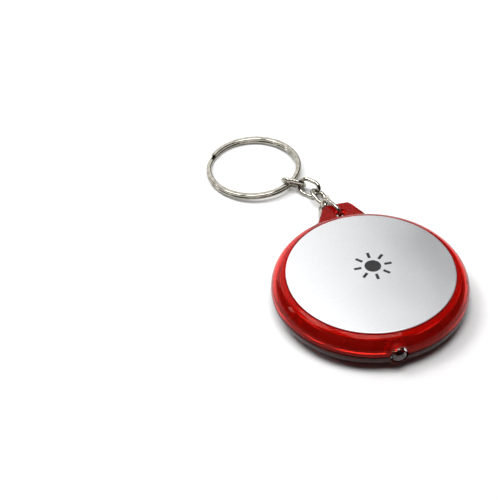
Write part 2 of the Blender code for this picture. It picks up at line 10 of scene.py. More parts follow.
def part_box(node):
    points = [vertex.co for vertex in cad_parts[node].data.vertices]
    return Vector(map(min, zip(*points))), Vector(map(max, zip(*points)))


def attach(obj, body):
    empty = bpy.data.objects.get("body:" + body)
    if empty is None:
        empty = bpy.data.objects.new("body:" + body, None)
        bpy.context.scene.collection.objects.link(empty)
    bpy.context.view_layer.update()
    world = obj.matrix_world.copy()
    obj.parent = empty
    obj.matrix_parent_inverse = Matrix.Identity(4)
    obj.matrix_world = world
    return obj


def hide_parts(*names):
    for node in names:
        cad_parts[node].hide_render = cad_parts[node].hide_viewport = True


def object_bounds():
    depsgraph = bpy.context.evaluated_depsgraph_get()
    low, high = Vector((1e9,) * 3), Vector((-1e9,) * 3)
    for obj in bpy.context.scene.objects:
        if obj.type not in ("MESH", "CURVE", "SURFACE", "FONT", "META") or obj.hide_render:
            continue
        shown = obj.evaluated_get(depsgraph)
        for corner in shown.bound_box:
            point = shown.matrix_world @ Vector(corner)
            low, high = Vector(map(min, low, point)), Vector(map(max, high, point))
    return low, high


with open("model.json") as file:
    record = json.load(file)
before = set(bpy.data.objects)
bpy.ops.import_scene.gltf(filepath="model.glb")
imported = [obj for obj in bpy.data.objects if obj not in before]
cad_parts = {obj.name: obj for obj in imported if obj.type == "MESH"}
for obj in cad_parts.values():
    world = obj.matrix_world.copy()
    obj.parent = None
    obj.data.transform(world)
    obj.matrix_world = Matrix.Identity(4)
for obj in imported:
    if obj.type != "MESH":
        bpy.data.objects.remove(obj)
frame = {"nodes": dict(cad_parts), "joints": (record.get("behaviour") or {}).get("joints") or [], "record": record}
cad_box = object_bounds()

MM = 0.001
TURN = 2 * math.pi


def span(node):
    """A CAD node's lowest and highest corners, in millimetres."""
    low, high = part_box(node)
    return low / MM, high / MM


# ---------------------------------------------------------------- sizes, in millimetres

PLATE_LOW, PLATE_HIGH = span("press_plate")
LENS_LOW, LENS_HIGH = span("led_lens")
SCREWS = ("screw_1", "screw_2", "screw_3")
LINKS = ("lug_ring", "chain_link_1", "chain_link_2", "chain_link_3", "chain_link_4")

CASE_R = span("lower_shell")[1].x
CASE_H = PLATE_HIGH.z
MID_Z = CASE_H / 2
RIM_R = CASE_H / 2
RIM_CENTRE_R = CASE_R - RIM_R
WALL = 1.3
INNER_RIM_R = RIM_R - WALL
HALF_GAP = 0.05
SEAM_BEVEL = 0.14
TONGUE_R = 26.8
TONGUE_H = 0.75
TONGUE_W = 0.55
TONGUE_PLAY = 0.1
FLOOR_TURN_DEG = -78
CUT_MARGIN = 1.0
OPENING_R = PLATE_HIGH.x + 0.25
OPENING_ROUND = 0.22
OPENING_TURN_DEG = 110
LIP_LOW_Z = 9.5
LIP_WALL_R = 24.7
POST_R = 1.9
POST_Z = (2.75, 7.5)
POST_BORE_R = 0.95
POST_CAP = 0.9
RIB_T = 1.6
RIB_INSET = 1.0
RIB_DROP = 0.2
BOSS_R = 2.6
BOSS_TOP_Z = 2.65
RECESS_R = 1.8
RECESS_TOP_Z = 1.3
SCREW_PLAY = 0.1
SCREW_CUT_TOP_Z = 4.0
SMALL_STEPS = 24

LUG_T = 2.6
LUG_TIP_Y = span("upper_shell")[1].y
LUG_BASE_Y = 25.4
LUG_BASE_HALF = 8.6
LUG_TIP_HALF = 3.8
LUG_CORNER_R = 2.6
LUG_START_R = 26.45
LUG_EDGE_R = 0.75
LUG_START_Y = 24.0
LUG_ROOT_R = 27.1
LUG_BLEND = 6.0
LUG_FILLET_R = 1.5
LUG_HOLE_R = 1.6
LUG_HOLE_ROUND = 0.35
LUG_HOLE_CUT = 3.0

PLATE_EDGE_R = 0.2
PLATE_BEVEL = 0.08
MARK_SINK = 0.01
MARK_RISE = 0.02
MARK_PLACE = (0.6, 2.6)
MARK_DISC_R = 2.3
RAY_COUNT = 8
RAY_R = (3.3, 5.4)
RAY_HALF = 0.42

LED_R = 2.5
LED_LENGTH = LENS_HIGH.y - LENS_LOW.y
LED_BACK_Y = LENS_HIGH.y
LED_FLANGE_R = LENS_HIGH.x
LED_FLANGE_T = 1.0
LED_FLANGE_ROUND = 0.15
LED_STEP = 0.1
LED_STEPS = 72
LED_SPACE = (22.4, 31.0)
COLLAR_R = 3.6
COLLAR_BORE_R = 2.6
COLLAR_FACE = 27.1
COLLAR_BACK = 24.8
COLLAR_ROUND = 0.35
COLLAR_BORE_DEPTH = 0.2
COLLAR_KEEP_HALF = 9.0
COLLAR_KEEP_Y = (-40.0, -10.0)
COLLAR_LOW_Z = 0.5

# Inside the LED: heights are measured from the back of its flange towards its tip.
CUP_BASE = (0.8, 3.9)
CUP_FLOOR = (0.55, 4.3)
CUP_MOUTH = (0.95, 5.1)
CUP_WALL = 0.1
CUP_STEPS = 32
# A bar's reach along x, its half thickness, and its reach along the LED.
LEAD_BARS = {
    "anvil": ((-1.55, -0.35), 0.25, (0.15, 3.95)),
    "post": ((1.02, 1.5), 0.25, (0.15, 4.6)),
    "arm": ((0.6, 1.45), 0.2, (4.15, 4.65)),
}
LEAD_BEVEL = 0.08
CHIP_HALF = 0.3
CHIP_REACH = (4.32, 4.62)
CHIP_BEVEL = 0.06

WIRE_SIDES = 16
WIRE_SEAM_REACH = 0.05
WIRE_SEAM_SCALE = 0.86
RING_BAND_W = 1.5
RING_BAND_T = 0.85
RING_COIL_GAP = 0.06
RING_CORNER_R = 0.4
RING_STEPS = 400
RING_CROSSOVER = math.radians(34)
RING_END = math.radians(42)

# ---------------------------------------------------------------- camera

AZIMUTH = math.radians(-14.4)
ELEVATION = math.radians(42.95)
DISTANCE = 628.8
BASE_RIGHT = 33.2616
BASE_UP = -14.2113
LENS = 162.792
SENSOR = 36
CLIP = (0.01, 20)


def view_axes():
    """The camera's right, up and forward directions in the part's frame."""
    ca, sa = math.cos(AZIMUTH), math.sin(AZIMUTH)
    ce, se = math.cos(ELEVATION), math.sin(ELEVATION)
    right = Vector((ca, sa, 0))
    forward = Vector((-sa * ce, ca * ce, -se))
    return right, right.cross(forward), forward


def add_camera():
    """A long lens. The origin stands BASE_RIGHT and BASE_UP from the middle of the view."""
    right, up, forward = view_axes()
    data = bpy.data.cameras.new("camera")
    data.sensor_width = SENSOR
    data.lens = LENS
    data.clip_start, data.clip_end = CLIP
    camera = bpy.data.objects.new("camera", data)
    bpy.context.scene.collection.objects.link(camera)
    place = -(right * BASE_RIGHT + up * BASE_UP + forward * DISTANCE) * MM
    turn = Matrix((right, up, -forward)).transposed()
    camera.matrix_world = Matrix.Translation(place) @ turn.to_4x4()
    bpy.context.scene.camera = camera


# ---------------------------------------------------------------- node helpers

NOISE_RANGE = (0.3, 0.7)


def new_material(name):
    made = bpy.data.materials.new(name)
    made.use_nodes = True
    nodes = made.node_tree.nodes
    return made, nodes, made.node_tree.links, nodes["Principled BSDF"]


def noise(nodes, links, where, scale, detail, roughness=0.5):
    made = nodes.new("ShaderNodeTexNoise")
    made.inputs["Scale"].default_value = scale
    made.inputs["Detail"].default_value = detail
    made.inputs["Roughness"].default_value = roughness
    links.new(where, made.inputs["Vector"])
    return made.outputs["Fac"]


def object_coordinates(nodes, links, stretch=None):
    where = nodes.new("ShaderNodeTexCoord").outputs["Object"]
    if stretch is None:
        return where
    mapping = nodes.new("ShaderNodeMapping")
    mapping.inputs["Scale"].default_value = stretch
    links.new(where, mapping.inputs["Vector"])
    return mapping.outputs["Vector"]


def two_tone(nodes, links, factor, colours):
    """Blends from the first colour to the second over a noise factor's usual range."""
    made = nodes.new("ShaderNodeValToRGB")
    for element, place, colour in zip(made.color_ramp.elements, NOISE_RANGE, colours):
        element.position = place
        element.color = (*colour, 1)
    links.new(factor, made.inputs["Fac"])
    return made.outputs["Color"]


def spread(nodes, links, factor, low, high):
    """Maps a noise factor's usual range on low to high."""
    made = nodes.new("ShaderNodeMapRange")
    made.inputs["From Min"].default_value = NOISE_RANGE[0]
    made.inputs["From Max"].default_value = NOISE_RANGE[1]
    made.inputs["To Min"].default_value = low
    made.inputs["To Max"].default_value = high
    links.new(factor, made.inputs["Value"])
    return made.outputs["Result"]


def bump(nodes, links, height, strength, distance):
    """Fine relief, its depth in millimetres."""
    made = nodes.new("ShaderNodeBump")
    made.inputs["Strength"].default_value = strength
    made.inputs["Distance"].default_value = distance * MM
    links.new(height, made.inputs["Height"])
    return made.outputs["Normal"]


# ---------------------------------------------------------------- materials

# Each pair holds the two tones that a material's colour wanders between.
CLEAR_RED = ((0.8, 0.013, 0.008), (0.9, 0.021, 0.012))
# The lower shell's pair is the same clear red plastic painted far darker: painted shade where little light
# reaches, standing in for the dark reflections under the case.
PAINTED_SHADE_RED = ((0.11, 0.004, 0.003), (0.15, 0.006, 0.004))
CARRIER_RED = ((0.8, 0.016, 0.01), (0.9, 0.024, 0.014))
ALUMINIUM = ((0.74, 0.745, 0.76), (0.86, 0.865, 0.875))
NICKEL = ((0.3, 0.28, 0.235), (0.58, 0.55, 0.48))
STEEL = ((0.5, 0.5, 0.5), (0.66, 0.66, 0.65))
STRIP = ((0.62, 0.56, 0.4), (0.74, 0.68, 0.5))
BLACK = ((0.006, 0.006, 0.007), (0.016, 0.016, 0.017))
INK = ((0.008, 0.008, 0.009), (0.02, 0.02, 0.022))
PHOSPHOR = ((0.75, 0.6, 0.12), (0.85, 0.72, 0.2))
EPOXY = ((0.9, 0.91, 0.93), (0.96, 0.97, 0.98))
PAPER = ((0.93, 0.93, 0.93), (0.95, 0.95, 0.95))


def red_plastic(name, colours, clear):
    """Clear dyed moulding: faint flow marks in its colour, fine handling marks in its gloss."""
    made, nodes, links, shader = new_material(name)
    where = object_coordinates(nodes, links)
    flow = noise(nodes, links, where, 60, 2)
    fine = noise(nodes, links, where, 900, 3)
    links.new(two_tone(nodes, links, flow, colours), shader.inputs["Base Color"])
    links.new(spread(nodes, links, fine, 0.015, 0.05), shader.inputs["Roughness"])
    shader.inputs["Transmission Weight"].default_value = clear
    shader.inputs["IOR"].default_value = 1.26
    shader.inputs["Specular Tint"].default_value = (1, 0.5, 0.42, 1)
    links.new(bump(nodes, links, fine, 0.03, 0.02), shader.inputs["Normal"])
    return made


def satin_aluminium():
    """Fine bead-blasted metal with a faint cloudy wear."""
    made, nodes, links, shader = new_material("satin_aluminium")
    where = object_coordinates(nodes, links)
    grain = noise(nodes, links, where, 6500, 2, 0.6)
    cloud = noise(nodes, links, where, 70, 3)
    shader.inputs["Metallic"].default_value = 1.0
    links.new(two_tone(nodes, links, grain, ALUMINIUM), shader.inputs["Base Color"])
    links.new(spread(nodes, links, cloud, 0.43, 0.48), shader.inputs["Roughness"])
    links.new(bump(nodes, links, grain, 0.12, 0.02), shader.inputs["Normal"])
    return made


def plated(name, colours, rough):
    """Plated or drawn metal: patchy tone and gloss, with fine lengthwise scratches."""
    made, nodes, links, shader = new_material(name)
    where = object_coordinates(nodes, links)
    worn = noise(nodes, links, where, 700, 4, 0.6)
    scratch = noise(nodes, links, object_coordinates(nodes, links, (1, 1, 12)), 900, 2)
    shader.inputs["Metallic"].default_value = 1.0
    links.new(two_tone(nodes, links, worn, colours), shader.inputs["Base Color"])
    links.new(spread(nodes, links, worn, *rough), shader.inputs["Roughness"])
    links.new(bump(nodes, links, scratch, 0.06, 0.03), shader.inputs["Normal"])
    return made


def grained(name, colours, rough, strength):
    """Opaque moulded plastic, resin or ink with a fine grain."""
    made, nodes, links, shader = new_material(name)
    where = object_coordinates(nodes, links)
    grain = noise(nodes, links, where, 2500, 3, 0.6)
    cloud = noise(nodes, links, where, 120, 2)
    links.new(two_tone(nodes, links, cloud, colours), shader.inputs["Base Color"])
    links.new(spread(nodes, links, grain, *rough), shader.inputs["Roughness"])
    links.new(bump(nodes, links, grain, strength, 0.04), shader.inputs["Normal"])
    return made


def clear_epoxy():
    made, nodes, links, shader = new_material("clear_epoxy")
    slow = noise(nodes, links, object_coordinates(nodes, links), 300, 2)
    links.new(two_tone(nodes, links, slow, EPOXY), shader.inputs["Base Color"])
    links.new(spread(nodes, links, slow, 0.01, 0.04), shader.inputs["Roughness"])
    shader.inputs["Transmission Weight"].default_value = 1.0
    shader.inputs["IOR"].default_value = 1.52
    return made


def pale_floor():
    made, nodes, links, shader = new_material("pale_paper")
    grain = noise(nodes, links, object_coordinates(nodes, links), 400, 3)
    links.new(two_tone(nodes, links, grain, PAPER), shader.inputs["Base Color"])
    shader.inputs["Roughness"].default_value = 0.95
    shader.inputs["Specular IOR Level"].default_value = 0.1
    return made


# ---------------------------------------------------------------- stage and light

FLOOR_HALF = 3000
FLOOR_GAP = 0.02
LIGHT_AIM_Z = 6
BACK_SHIFT = -150
BACK_AIM_SHARE = 0.6
SURROUND = 0.03


def add_stage():
    """A wide pale surface just under the object's lowest point."""
    r = FLOOR_HALF * MM
    z = cad_box[0][2] - FLOOR_GAP * MM
    mesh = bpy.data.meshes.new("floor")
    mesh.from_pydata([(-r, -r, z), (r, -r, z), (r, r, z), (-r, r, z)], [], [(0, 1, 2, 3)])
    mesh.materials.append(pale_floor())
    floor = bpy.data.objects.new("floor", mesh)
    bpy.context.scene.collection.objects.link(floor)


def from_view(side, away, height):
    """A point in metres, by millimetres to the camera's right, away from it and up."""
    right = Vector((math.cos(AZIMUTH), math.sin(AZIMUTH), 0))
    ahead = Vector((-math.sin(AZIMUTH), math.cos(AZIMUTH), 0))
    return (right * side + ahead * away) * MM + Vector((0, 0, height * MM))


def aimed(azimuth, elevation, distance):
    """A point in metres, by degrees to the right of straight away from the camera, and up."""
    a, e = math.radians(azimuth), math.radians(elevation)
    flat = math.cos(e) * distance
    return from_view(math.sin(a) * flat, math.cos(a) * flat, math.sin(e) * distance)


def add_panel(name, place, aim, size, radiance):
    """A soft panel of light, its size in millimetres, as bright as the radiance of its face."""
    data = bpy.data.lights.new(name, "AREA")
    data.shape = "RECTANGLE"
    data.size, data.size_y = size[0] * MM, size[1] * MM
    data.energy = radiance * math.pi * data.size * data.size_y
    lamp = bpy.data.objects.new(name, data)
    bpy.context.scene.collection.objects.link(lamp)
    lamp.location = place
    lamp.rotation_euler = (aim - place).to_track_quat("-Z", "Y").to_euler()
    lamp.visible_camera = False


def add_lights():
    """A key and a small box on the left, a dim panel behind, and a large box overhead."""
    aim = Vector((0, 0, LIGHT_AIM_Z * MM))
    add_panel("key_box", aimed(-78, 60, 1000), aim, (400, 340), 9.0)
    add_panel("left_box", aimed(-80, 26, 1000), aim, (150, 190), 7.0)
    shift = from_view(BACK_SHIFT, 0, 0)
    back_aim = aim + shift * BACK_AIM_SHARE
    add_panel("back_panel", aimed(4, 42.5, 260) + shift, back_aim, (320, 420), 1.2)
    add_panel("top_box", aimed(165, 84, 1100), aim, (640, 540), 7.6)
    world = bpy.data.worlds.new("studio")
    bpy.context.scene.world = world
    world.use_nodes = True
    surround = world.node_tree.nodes["Background"]
    surround.inputs["Color"].default_value = (1, 1, 1, 1)
    surround.inputs["Strength"].default_value = SURROUND


# ---------------------------------------------------------------- mesh helpers

TIP_R = 1e-6
MERGE = 1e-7


def new_object(name, mesh):
    made = bpy.data.objects.new(name, mesh)
    bpy.context.scene.collection.objects.link(made)
    return made


def from_bmesh(name, shape):
    bmesh.ops.recalc_face_normals(shape, faces=shape.faces)
    mesh = bpy.data.meshes.new(name)
    shape.to_mesh(mesh)
    shape.free()
    return new_object(name, mesh)


def bridge(shape, lower, upper):
    """Faces between two rings of vertices. A ring of one vertex is a tip."""
    count = max(len(lower), len(upper))
    for i in range(count):
        corners = []
        for ring, k in ((lower, i), (lower, i + 1), (upper, i + 1), (upper, i)):
            corner = ring[k % len(ring)]
            if corner not in corners:
                corners.append(corner)
        if len(corners) > 2:
            shape.faces.new(corners)


def lathe(name, profile, steps=160, closed=False):
    """A profile of (r, z) millimetres turned about Z. A closed one joins its ends."""
    shape = bmesh.new()
    rings = []
    for r, z in profile:
        ring = []
        for i in range(steps if r > TIP_R else 1):
            a = TURN * i / steps
            ring.append(shape.verts.new((r * math.cos(a) * MM, r * math.sin(a) * MM, z * MM)))
        rings.append(ring)
    ends = rings[1:] + rings[:1] if closed else rings[1:]
    for lower, upper in zip(rings, ends):
        bridge(shape, lower, upper)
    return from_bmesh(name, shape)


def arc(centre_r, centre_z, radius, start, end, count):
    """Profile points (r, z) along an arc, by angle above the horizontal in degrees."""
    points = []
    for i in range(count + 1):
        a = math.radians(start + (end - start) * i / count)
        points.append((centre_r + radius * math.cos(a), centre_z + radius * math.sin(a)))
    return points


def box_mesh(name, low, high, bevel=0.0):
    """A box between two corners in millimetres, its edges rounded by bevel."""
    shape = bmesh.new()
    bmesh.ops.create_cube(shape, size=1)
    size = [(b - a) * MM for a, b in zip(low, high)]
    centre = [(b + a) / 2 * MM for a, b in zip(low, high)]
    bmesh.ops.scale(shape, verts=shape.verts, vec=size)
    bmesh.ops.translate(shape, verts=shape.verts, vec=centre)
    if bevel:
        bmesh.ops.bevel(shape, geom=shape.edges[:], offset=bevel * MM, segments=2, affect="EDGES")
    return from_bmesh(name, shape)


def move(obj, matrix):
    obj.data.transform(matrix)
    return obj


def along_minus_y(obj, y=0.0):
    """Lays a turned piece on its side at the case's middle height, its +Z along -Y from y."""
    turn = Matrix.Rotation(math.pi / 2, 4, "X")
    return move(obj, Matrix.Translation((0, y * MM, MID_Z * MM)) @ turn)


def bake(obj):
    """Applies the object's modifiers."""
    bpy.context.view_layer.update()
    graph = bpy.context.evaluated_depsgraph_get()
    mesh = bpy.data.meshes.new_from_object(obj.evaluated_get(graph))
    obj.modifiers.clear()
    obj.data = mesh


def carve(obj, operation, *others):
    """Joins other pieces to an object, cuts them out of it, or keeps what they share.

    The other pieces are used up.
    """
    for other in others:
        modifier = obj.modifiers.new(operation, "BOOLEAN")
        modifier.operation = operation
        modifier.object = other
        modifier.solver = "MANIFOLD"
    bake(obj)
    for other in others:
        bpy.data.objects.remove(other)


def merge(name, pieces):
    """One object from several separate shells. The pieces are used up."""
    shape = bmesh.new()
    for piece in pieces:
        shape.from_mesh(piece.data)
        bpy.data.objects.remove(piece)
    return from_bmesh(name, shape)


def sweep(name, stations, section, closed):
    """A section of (a, b) millimetres along stations of (origin, side, up, scale).

    An open sweep is capped at both ends.
    """
    shape = bmesh.new()
    rings = [
        [shape.verts.new((origin + (side * a + up * b) * scale) * MM) for a, b in section]
        for origin, side, up, scale in stations
    ]
    for ring, after in zip(rings, rings[1:] + rings[:1] if closed else rings[1:]):
        bridge(shape, ring, after)
    if not closed:
        shape.faces.new(rings[0])
        shape.faces.new(rings[-1])
    return from_bmesh(name, shape)


def finish_piece(obj, made, body, slot, *nodes, sharp=32):
    """Gives a piece its material, shading and body, and hides the CAD nodes that it stands for. Its slot is not
    used.
    """
    obj.data.materials.clear()
    obj.data.materials.append(made)
    obj.data.shade_smooth()
    obj.data.set_sharp_from_angle(angle=math.radians(sharp))
    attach(obj, body)
    if nodes:
        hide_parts(*nodes)


def finish_node(name, made):
    """Gives a CAD node that keeps its own shape a better material."""
    obj = frame["nodes"][name]
    obj.data.materials.clear()
    obj.data.materials.append(made)


# ---------------------------------------------------------------- case


def rim_angle_at_r(radius, r):
    """The angle in degrees at which the rim's upper round of that radius reaches r."""
    return math.degrees(math.acos((r - RIM_CENTRE_R) / radius))


def rim_angle_at_z(radius, z):
    """The angle in degrees at which the rim's round of that radius reaches z."""
    return math.degrees(math.asin((z - MID_Z) / radius))


def fillet(distance, radius):
    """How far a round inner corner stands out at that distance from its root."""
    if distance >= radius:
        return 0.0
    reach = radius - max(distance, 0.0)
    return radius - math.sqrt(radius**2 - reach**2)


def lug_half_width(y):
    """Half the lug's width at y: a taper that flares into the rim, with round outer corners."""
    slope = math.atan2(LUG_BASE_HALF - LUG_TIP_HALF, LUG_TIP_Y - LUG_BASE_Y)
    corner_x = LUG_TIP_HALF - LUG_CORNER_R * math.tan(math.pi / 4 - slope / 2)
    corner_y = LUG_TIP_Y - LUG_CORNER_R
    if y > corner_y + LUG_CORNER_R * math.sin(slope):
        return corner_x + math.sqrt(max(LUG_CORNER_R**2 - (y - corner_y) ** 2, 0))
    width = LUG_BASE_HALF - (y - LUG_BASE_Y) * math.tan(slope)
    rim = math.sqrt(max(LUG_ROOT_R**2 - y**2, 0))
    share = max(1 - abs(width - rim) / LUG_BLEND, 0)
    return max(width, rim) + share**2 * LUG_BLEND / 4


def lug_start(u):
    """The y inside the rim's wall where the lug's column at that share of its width begins."""
    low, high = LUG_START_Y, LUG_START_R
    for _ in range(24):
        middle = (low + high) / 2
        if math.hypot(u * lug_half_width(middle), middle) < LUG_START_R:
            low = middle
        else:
            high = middle
    return high


def lug_half(name, side, across=26, along=30):
    """The lug's upper (side 1) or lower (side -1) half, round-edged and filleted at the rim."""
    shape = bmesh.new()
    flat_z = MID_Z + side * HALF_GAP
    faces, flats = [], []
    for i in range(across + 1):
        u = math.sin(math.pi * (i / across - 0.5))
        y0 = lug_start(u)
        face, flat = [], []
        for k in range(along + 1):
            t = (1 - math.cos(math.pi * k / along)) / 2
            y = y0 + (LUG_TIP_Y - y0) * t
            width = lug_half_width(y)
            x = u * width
            edge = min((1 - abs(u)) * width, LUG_TIP_Y - y)
            root = math.hypot(x, y) - LUG_ROOT_R
            height = LUG_T / 2 - fillet(edge, LUG_EDGE_R)
            height += fillet(root, LUG_FILLET_R) * min(edge / LUG_FILLET_R, 1)
            face.append(shape.verts.new((x * MM, y * MM, (MID_Z + side * height) * MM)))
            flat.append(shape.verts.new((x * MM, y * MM, flat_z * MM)))
        faces.append(face)
        flats.append(flat)
    for grid in (faces, flats):
        for column, after in zip(grid, grid[1:]):
            for k in range(along):
                shape.faces.new((column[k], after[k], after[k + 1], column[k + 1]))
    border = [(i, 0) for i in range(across)] + [(across, k) for k in range(along)]
    border += [(i, along) for i in range(across, 0, -1)] + [(0, k) for k in range(along, 0, -1)]
    for (i, k), (m, n) in zip(border, border[1:] + border[:1]):
        shape.faces.new((faces[i][k], faces[m][n], flats[m][n], flats[i][k]))
    bmesh.ops.remove_doubles(shape, verts=shape.verts, dist=MERGE)
    return from_bmesh(name, shape)


def lug_hole(name):
    """A cutter for the lug's hole, wider at both faces so that its rims are rounded."""
    half = LUG_T / 2
    wide = LUG_HOLE_R + LUG_HOLE_ROUND
    low, high = MID_Z - LUG_HOLE_CUT, MID_Z + LUG_HOLE_CUT
    profile = [(0, low), (wide, low)]
    profile += arc(wide, MID_Z - half + LUG_HOLE_ROUND, LUG_HOLE_ROUND, 270, 180, 6)
    profile += arc(wide, MID_Z + half - LUG_HOLE_ROUND, LUG_HOLE_ROUND, 180, 90, 6)
    profile += [(wide, high), (0, high)]
    cutter = lathe(name, profile, steps=48)
    lug_pivot = next(j for j in frame["joints"] if j["child"] == "lug_ring")["pos_m"]
    return move(cutter, Matrix.Translation((lug_pivot[0], lug_pivot[1], 0)))


def collar_half(name, low, high):
    """Half of the tube that the LED looks out of, with a rounded lip. Its bore is cut later."""
    r = COLLAR_ROUND
    floor = COLLAR_FACE - r - COLLAR_BORE_DEPTH
    profile = [(0, COLLAR_BACK), (COLLAR_R, COLLAR_BACK)]
    profile += arc(COLLAR_R - r, COLLAR_FACE - r, r, 0, 90, 6)
    profile += arc(COLLAR_BORE_R + r, COLLAR_FACE - r, r, 90, 180, 6)
    profile += [(COLLAR_BORE_R, floor), (0, floor)]
    collar = along_minus_y(lathe(name, profile, LED_STEPS))
    keep_low = (-COLLAR_KEEP_HALF, COLLAR_KEEP_Y[0], low)
    keep = box_mesh(name + "_keep", keep_low, (COLLAR_KEEP_HALF, COLLAR_KEEP_Y[1], high))
    carve(collar, "INTERSECT", keep)
    return collar


def bore(name):
    """A cutter for the space that the LED sits in."""
    low, high = LED_SPACE
    profile = [(0, low), (COLLAR_BORE_R, low), (COLLAR_BORE_R, high), (0, high)]
    return along_minus_y(lathe(name, profile, LED_STEPS))


def pillar(name, node, radius, low, high, steps=40):
    """An upright cylinder on a screw's axis."""
    a, b = span(node)
    made = lathe(name, [(0, low), (radius, low), (radius, high), (0, high)], steps)
    return move(made, Matrix.Translation(((a.x + b.x) / 2 * MM, (a.y + b.y) / 2 * MM, 0)))


def case_lower(made):
    """The floor and the rim up to the seam, with a tongue inside it and a boss at each screw."""
    seam = MID_Z - HALF_GAP
    tongue_top = MID_Z + TONGUE_H - 2 * HALF_GAP
    profile = [(0, WALL), (RIM_CENTRE_R, WALL)]
    inner_top = rim_angle_at_z(INNER_RIM_R, seam)
    outer_top = rim_angle_at_z(RIM_R, seam - SEAM_BEVEL)
    tongue_r = TONGUE_R - TONGUE_PLAY
    profile += arc(RIM_CENTRE_R, MID_Z, INNER_RIM_R, FLOOR_TURN_DEG, inner_top, 14)
    profile += [(tongue_r - TONGUE_W, tongue_top), (tongue_r, tongue_top)]
    profile += [(tongue_r, seam), (CASE_R - SEAM_BEVEL, seam)]
    profile += arc(RIM_CENTRE_R, MID_Z, RIM_R, outer_top, -90, 28)
    profile += [(0, 0)]
    shell = lathe("case_lower", profile)
    bosses = [pillar("boss", n, BOSS_R, WALL / 2, BOSS_TOP_Z) for n in SCREWS]
    carve(shell, "UNION", lug_half("lug", -1), collar_half("collar", COLLAR_LOW_Z, seam), *bosses)
    through_r = POST_BORE_R + SCREW_PLAY
    cuts = [pillar("recess", n, RECESS_R, -CUT_MARGIN, RECESS_TOP_Z) for n in SCREWS]
    cuts += [pillar("through", n, through_r, 0, SCREW_CUT_TOP_Z, SMALL_STEPS) for n in SCREWS]
    gate_low = (-COLLAR_R, -CASE_R - CUT_MARGIN, seam)
    gate = box_mesh("gate", gate_low, (COLLAR_R, CUT_MARGIN - COLLAR_BACK, CASE_H))
    carve(shell, "DIFFERENCE", gate, lug_hole("hole"), bore("bore"), *cuts)
    finish_piece(shell, made, "case", "red_plastic", "lower_shell")


def case_upper(made):
    """The rim above the seam with its round opening, and a ribbed post over each screw."""
    seam = MID_Z + HALF_GAP
    step_z = MID_Z + TONGUE_H
    top = rim_angle_at_r(RIM_R, OPENING_R + OPENING_ROUND)
    rim_z = MID_Z + RIM_R * math.sin(math.radians(top))
    outer_low = rim_angle_at_z(RIM_R, seam + SEAM_BEVEL)
    inner_low = rim_angle_at_z(INNER_RIM_R, step_z)
    inner_high = rim_angle_at_r(INNER_RIM_R, LIP_WALL_R)
    profile = arc(RIM_CENTRE_R, MID_Z, RIM_R, top, outer_low, 28)
    profile += [(CASE_R - SEAM_BEVEL, seam), (TONGUE_R, seam), (TONGUE_R, step_z)]
    profile += arc(RIM_CENTRE_R, MID_Z, INNER_RIM_R, inner_low, inner_high, 10)
    profile += [(LIP_WALL_R, LIP_LOW_Z), (OPENING_R, LIP_LOW_Z)]
    round_r, round_z = OPENING_R + OPENING_ROUND, rim_z - OPENING_ROUND
    profile += arc(round_r, round_z, OPENING_ROUND, 180, OPENING_TURN_DEG, 4)
    shell = lathe("case_upper", profile, closed=True)
    posts = [pillar("post", n, POST_R, *POST_Z) for n in SCREWS]
    for node in SCREWS:
        a, b = span(node)
        centre = (a + b) / 2
        reach = math.hypot(centre.x, centre.y)
        rib_low = (reach + RIB_INSET, -RIB_T / 2, step_z + TONGUE_PLAY)
        rib = box_mesh("rib", rib_low, (TONGUE_R - TONGUE_PLAY, RIB_T / 2, POST_Z[1] - RIB_DROP))
        posts.append(move(rib, Matrix.Rotation(math.atan2(centre.y, centre.x), 4, "Z")))
    carve(shell, "UNION", lug_half("lug", 1), collar_half("collar", seam, CASE_H), *posts)
    bore_top = POST_Z[1] - POST_CAP
    bores = [pillar("post_bore", n, POST_BORE_R, 0, bore_top, SMALL_STEPS) for n in SCREWS]
    carve(shell, "DIFFERENCE", lug_hole("hole"), bore("bore"), *bores)
    finish_piece(shell, made, "case", "red_plastic", "upper_shell")


def plate(made):
    """The round plate that is pressed, its top edge rounded."""
    edge = PLATE_EDGE_R
    r = PLATE_HIGH.x
    profile = [(0, CASE_H)]
    profile += arc(r - edge, CASE_H - edge, edge, 90, 0, 6)
    profile += [(r, PLATE_LOW.z + PLATE_BEVEL), (r - PLATE_BEVEL, PLATE_LOW.z), (0, PLATE_LOW.z)]
    disc = lathe("plate_disc", profile, steps=200)
    finish_piece(disc, made, "button", "plate_metal", "press_plate", sharp=50)


def plate_mark(made):
    """A printed sign for light: a disc in a ring of short rays."""
    low, high = CASE_H - MARK_SINK, CASE_H + MARK_RISE
    profile = [(0, low), (MARK_DISC_R, low), (MARK_DISC_R, high), (0, high)]
    pieces = [lathe("disc", profile, steps=48)]
    for i in range(RAY_COUNT):
        ray = box_mesh("ray", (RAY_R[0], -RAY_HALF, low), (RAY_R[1], RAY_HALF, high))
        pieces.append(move(ray, Matrix.Rotation(TURN * i / RAY_COUNT, 4, "Z")))
    mark = merge("plate_mark", pieces)
    move(mark, Matrix.Translation(from_view(*MARK_PLACE, 0)))
    finish_piece(mark, made, "button", "black_plastic")


# ---------------------------------------------------------------- LED


